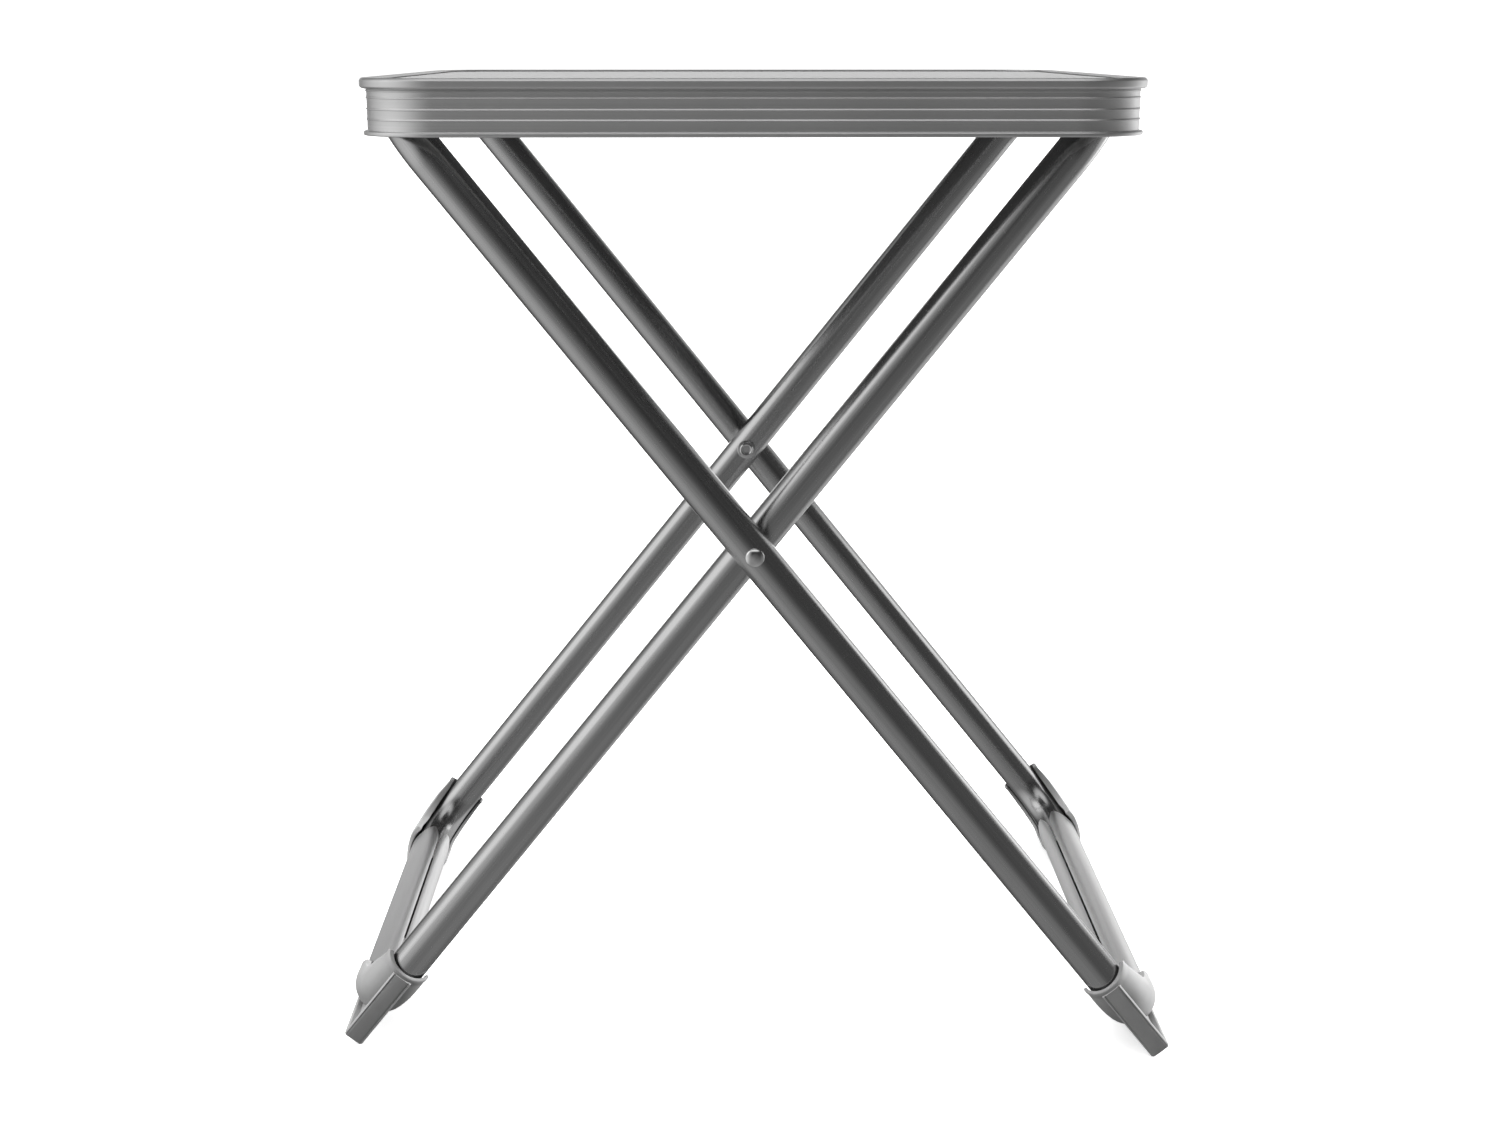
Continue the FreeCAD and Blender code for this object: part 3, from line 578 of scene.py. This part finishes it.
def foot(side, end):
    """One moulded foot: a shell round the tube's bend and a fin that stands on the floor."""
    half = HALF[side]
    normal = Y.cross(UP[side])
    # The wall that faces up and outward is thicker than the one that faces down and inward.
    upper = 1 if side == "outer" else -1

    def at(across, up):
        """Foot coordinates: across inward from the leg axis, up from the crossbar axis."""
        return spot(side, end * (half - across), -FOOT_ARM + up)

    bm = bmesh.new()
    flat = rounded([(0, COLLAR_TOP), (0, 0), (REACH, 0)], BEND, 30, closed=False)
    line = []
    for a, b in zip(flat, flat[1:]):
        steps = max(1, round((b - a).length / (1.5 * MM)))
        line += [a + (b - a) * k / steps for k in range(steps)]
    line.append(flat[-1])
    # Extra stations near both mouths, so that their rims can be rounded.
    first, last = line[0], line[-1]
    line[1:1] = [first + (line[1] - first).normalized() * d * MM for d in (0.25, 0.7)]
    line[-1:-1] = [last + (line[-2] - last).normalized() * d * MM for d in (0.7, 0.25)]
    sections, run = [], 0.0
    total = sum((b - a).length for a, b in zip(line, line[1:]))
    for i, point in enumerate(line):
        if i:
            run += (point - line[i - 1]).length
        left = total - run
        # How far the section is into the crossbar's end, and into the bend.
        widen = ease((50 * MM - left) / (14 * MM))
        swell = (0.4 + 0.6 * ease(run / (20 * MM))) * ease(left / (34 * MM))
        # The collar's band, the rounded mouths and the taper of the tongue.
        band = 0.45 * MM * (1 - ease((run - 3.2 * MM) / (0.8 * MM)))
        inset = min(run, left) / MM
        round_off = 0.0
        if inset < 0.7:
            round_off = 0.55 * MM * (1 - sqrt(max(0.0, 1 - (1 - inset / 0.7) ** 2)))
        grow = band - round_off - 0.7 * MM * (1 - ease(left / (12 * MM)))
        outer = [(radius + w * widen + s * swell) * MM + grow for radius, w, s in SHELL]
        inner = (11.5 + 1.4 * widen + 0.9 * (1 - ease(run / (9 * MM)))) * MM
        mouth = 14 * (1 - ease(run / (3 * MM)))
        spreads = [radians(90 - mouth - taper * max(0.0, 1 - left / (length * MM)) ** 0.7)
                   for length, taper in TIPS]
        webs = [0.2 * MM, (0.2 + 5 * ease(run / (24 * MM)) * ease(left / (34 * MM))) * MM]
        slope = 0.30 * (1 - ease(run / (16 * MM)))
        section = shell_section(outer, inner, spreads, webs, slope)
        sections.append([(a * -end, b * upper, c) for a, b, c in section])
    # The outside of the bend lies to the right of the path on one end and left on the other.
    sweep(bm, [at(p.x, p.y) for p in line], sections, normal)

    # Fin: a thin web that fills the corner, and a wide ridged band round its edge. The web's
    # outline follows the band to its toe and comes back inside the shell.
    drop = fin_drop()
    front = -FIN_FRONT
    # The edge runs down outside the leg, along the floor and up to the toe.
    toe = (REACH - 6 * MM, -14.2 * MM)
    band_line = rounded([(front, COLLAR_TOP - 6.4 * MM), (front, -drop), (42 * MM, -drop), toe],
                        [0, 1.6 * MM, 14 * MM, 0], 8, closed=False)
    web = [(p.x + 0.9 * MM, p.y + 0.9 * MM) for p in band_line]
    for k in range(len(flat) - 1, -1, -1):
        p = flat[k]
        if p.x > toe[0]:
            p = Vector((toe[0], 0))
        a = flat[max(k - 1, 0)]
        b = flat[min(k + 1, len(flat) - 1)]
        along = (b - a).normalized()
        out = Vector((along.y, -along.x))
        reach = (13.6 if p.x > BEND else 12.6) * MM
        web.append((p.x + out.x * reach, p.y + out.y * reach))
    web[-1] = (web[-1][0], COLLAR_TOP - 6.8 * MM)
    slab(bm, [at(*p) for p in web], normal, WEB_THICK, bevel=0.3 * MM)
    # Half sections (out, across) of the band in mm: with its ridges, and trimmed flat where
    # it stands on the floor.
    ridge = [(-3.4, 5.6), (-2.9, 6.15), (-1.2, 6.4), (-0.8, 6.35), (-0.1, 5.75), (0, 5.6),
             (-0.1, 5.45), (-0.8, 4.95), (-0.85, 4.8), (-0.75, 4.65), (-0.1, 4.1), (0, 3.95)]
    trim = [(-3.4, 5.6), (-2.9, 6.15), (-1.5, 6.3), (-1.0, 6.1), (-0.7, 5.8), (-0.4, 5.55),
            (-0.25, 5.3), (-0.1, 5.0), (0, 4.8), (0, 4.5), (0, 4.2), (0, 3.9)]

    def mirror(points):
        return [(a * MM, b * MM) for a, b in points + [(a, -b) for a, b in reversed(points)]]

    bands = []
    for p in band_line:
        share = ease((4.0 * MM - drop - p.y) / (3.0 * MM))
        a, b = mirror(ridge), mirror(trim)
        bands.append([((u[0] * (1 - share) + v[0] * share) * -end,
                       u[1] * (1 - share) + v[1] * share) for u, v in zip(a, b)])
    sweep(bm, [at(p.x, p.y) for p in band_line], bands, normal)
    word = "near" if end < 0 else "far"
    name = "%s_foot_%s" % (side, word)
    piece(name + "_moulding", bm, side + "_frame", "foot_plastic", FOOT_PLASTIC,
          name, sharp=36)


def fin_drop():
    """How far past the crossbar axis the fin reaches so that its trimmed edge is on the floor."""
    lean = UP["outer"].angle(Z)
    trimmed = FIN_HALF - 1.5 * MM
    return (PIVOT.z - trimmed * sin(lean)) / cos(lean) - FOOT_ARM - FIN_LIFT


for side in ("outer", "inner"):
    for end in (-1, 1):
        foot(side, end)


# ---- pivots ------------------------------------------------------------------------------
GAP = OUTER_HALF - INNER_HALF
SEAT = GAP + TUBE + 1.3 * MM     # where the rivet's tail is rolled over
WASHER = GAP + TUBE + 0.3 * MM   # the washer's face toward the inner tube
for end, word in ((-1, "near"), (1, "far")):
    inward = Y * -end
    origin = PIVOT + Y * end * OUTER_HALF
    bm = bmesh.new()
    dome = []
    for k in range(13):
        angle = pi / 2 * k / 12
        dome.append((-TUBE - 2.5 * MM + 2.0 * MM * (1 - cos(angle)), 5.3 * MM * sin(angle)))
    dome += [(-TUBE - 0.4 * MM, 5.35 * MM), (-TUBE + 1.2 * MM, 5.3 * MM),
             (-TUBE + 1.4 * MM, 3 * MM)]
    lathe(bm, origin, inward, dome)
    tail = [(-TUBE, 3.0 * MM), (SEAT, 3.0 * MM), (SEAT, 4.3 * MM)]
    for k in range(9):
        angle = -pi / 2 + pi * k / 8
        tail.append((SEAT + 1.1 * MM + 1.05 * MM * sin(angle), (3.9 + 0.8 * cos(angle)) * MM))
    tail += [(SEAT + 1.9 * MM, 3.2 * MM), (SEAT + 1.2 * MM, 2.6 * MM),
             (SEAT - 0.6 * MM, 2.2 * MM), (SEAT - 0.7 * MM, 0.0)]
    lathe(bm, origin, inward, tail)
    piece("pivot_cap_" + word, bm, "outer_frame", "pivot_steel", PIVOT_METAL,
          "pivot_rivet_" + word, sharp=50)
    bm = bmesh.new()
    ring = [(WASHER, 3.05), (WASHER, 6.1), (WASHER + 0.15 * MM, 6.35),
            (WASHER + 0.85 * MM, 6.4), (WASHER + 1.0 * MM, 6.1), (WASHER + 1.0 * MM, 3.05)]
    lathe(bm, origin, inward, [(a, r * MM) for a, r in ring])
    piece("tail_washer_" + word, bm, "outer_frame", "pivot_steel", PIVOT_METAL,
          "pivot_washer_" + word, sharp=50)

# ---- CAD pieces that keep their shape ----------------------------------------------------
# Start of the node's name: its material, and the width of its softened edges in mm.
KEPT = {"pivot_spacer": (SPACER_PLASTIC, 0.3), "hinge_strap_rivets": (RIVET_METAL, 0.0),
        "snap_hook_rivets": (RIVET_METAL, 0.0), "outer_foot_rivets": (RIVET_METAL, 0.15),
        "inner_foot_rivets": (RIVET_METAL, 0.15), "hinge_strap_near": (STRAP_METAL, 0.25),
        "hinge_strap_far": (STRAP_METAL, 0.25), "snap_hook_near": (HOOK_PLASTIC, 0.4),
        "snap_hook_far": (HOOK_PLASTIC, 0.4)}
for name, made in frame["nodes"].items():
    for start, (material, width) in KEPT.items():
        if name.startswith(start):
            made.data.materials.clear()
            made.data.materials.append(material)
            smooth(made.data, 35)
            if width:
                soften(made, width * MM)

# ---- stage -------------------------------------------------------------------------------
bm = bmesh.new()
bmesh.ops.create_grid(bm, x_segments=8, y_segments=8, size=30.0)
mesh = bpy.data.meshes.new("floor")
bm.to_mesh(mesh)
bm.free()
floor = bpy.data.objects.new("floor", mesh)
bpy.context.scene.collection.objects.link(floor)
s = Shader("floor_paper", grey(0.9), roughness=0.9, Emission_Color=(1, 1, 1, 1),
           Emission_Strength=0.5)
s.to("Base Color", s.shade(s.noise(s.coordinates("Object"), 3.0), grey(0.88), grey(0.92)))
mesh.materials.append(s.material)
# The floor only shows itself: the metal is lit by the sky and the lamps alone.
floor.visible_glossy = False
floor.visible_diffuse = False

world = bpy.data.worlds.new("studio")
bpy.context.scene.world = world
world.use_nodes = True
sky = world.node_tree
facing = sky.nodes.new("ShaderNodeTexCoord").outputs["Generated"]


def glow(direction, low, high, strength):
    """A soft lobe of light from one direction of the studio: nothing where the cosine to the
    direction is low, full strength where it is high."""
    dot = sky.nodes.new("ShaderNodeVectorMath")
    dot.operation = "DOT_PRODUCT"
    sky.links.new(facing, dot.inputs[0])
    dot.inputs[1].default_value = Vector(direction).normalized()
    ramp = sky.nodes.new("ShaderNodeMapRange")
    ramp.interpolation_type = "SMOOTHSTEP"
    sky.links.new(dot.outputs["Value"], ramp.inputs["Value"])
    for socket, value in (("From Min", low), ("From Max", high),
                          ("To Min", 0), ("To Max", strength)):
        ramp.inputs[socket].default_value = value
    return ramp.outputs["Result"]


def total(first, second):
    """The sum of two sockets of the sky."""
    added = sky.nodes.new("ShaderNodeMath")
    sky.links.new(first, added.inputs[0])
    sky.links.new(second, added.inputs[1])
    return added.outputs["Value"]


level = glow((0, 0, 1), -3, -2, 0.05)    # the same from everywhere
LOBES = (((-0.95, -0.15, 0.1), 0.35, 1.0, 0.62),      # left
         ((-0.55, -0.35, -0.75), 0.25, 1.0, 0.27),    # floor, left
         ((0.75, -0.1, -0.6), 0.3, 1.0, 0.2),         # floor, right
         ((0.74, 0.67, -0.2), 0.72, 0.85, 0.5),       # behind, right
         ((0, -0.98, -0.2), 0.85, 1.0, 0.08),         # in front
         ((0, -0.4, 0.92), 0.75, 0.95, 0.9),          # overhead
         ((-0.85, -0.15, 0.5), 0.86, 0.97, 0.7),      # high left
         ((0, 1, 0), 0.85, 0.925, 1.05))              # behind
for lobe in LOBES:
    level = total(level, glow(*lobe))
sky.links.new(level, sky.nodes["Background"].inputs["Strength"])
sky.nodes["Background"].inputs["Color"].default_value = (1, 1, 1, 1)


def area_light(name, place, turn, size, power):
    """A rectangular soft box."""
    light = bpy.data.lights.new(name, "AREA")
    light.shape, light.energy = "RECTANGLE", power
    light.size, light.size_y = size
    box = bpy.data.objects.new(name, light)
    box.location = place
    box.rotation_euler = turn
    bpy.context.scene.collection.objects.link(box)
    return box


LEG_MIDDLE = Vector((0, 0, 0.25))
for name, place, power in (("left", (-1.7, 0.25, 0.5), 18), ("right", (1.7, 0.4, 0.5), 72)):
    aim = (LEG_MIDDLE - Vector(place)).to_track_quat("-Z", "Y")
    area_light(name, place, aim.to_euler(), (1.0, 0.4), power).visible_glossy = False

# A weak soft box beside the far legs, which only draws the bright edge on their tubes.
soft_box = area_light("edge", (0.78, 0.39, 0.36), (0, radians(90), 0), (0.5, 0.4), 0.75)
soft_box.visible_camera = False

light = bpy.data.lights.new("overhead", "SUN")
light.energy = 3.8
light.angle = 1.3
overhead = bpy.data.objects.new("overhead", light)
overhead.rotation_euler = (radians(-12), radians(-14), 0)
overhead.visible_glossy = False
bpy.context.scene.collection.objects.link(overhead)

# ---- camera ------------------------------------------------------------------------------
# Position from the pivots' middle, pitch below the horizon and turn, fitted to the photograph.
CAMERA_OFFSET, PITCH, TURN = Vector((-0.0209, -1.298, 0.2748)), 13.957, -0.934
camera = bpy.data.objects.new("camera", bpy.data.cameras.new("camera"))
camera.data.sensor_width = 36
camera.data.lens = 50
camera.location = PIVOT + CAMERA_OFFSET
camera.rotation_euler = (radians(90 - PITCH), 0, radians(TURN))
bpy.context.scene.collection.objects.link(camera)
bpy.context.scene.camera = camera
bpy.context.scene.view_settings.view_transform = "Standard"
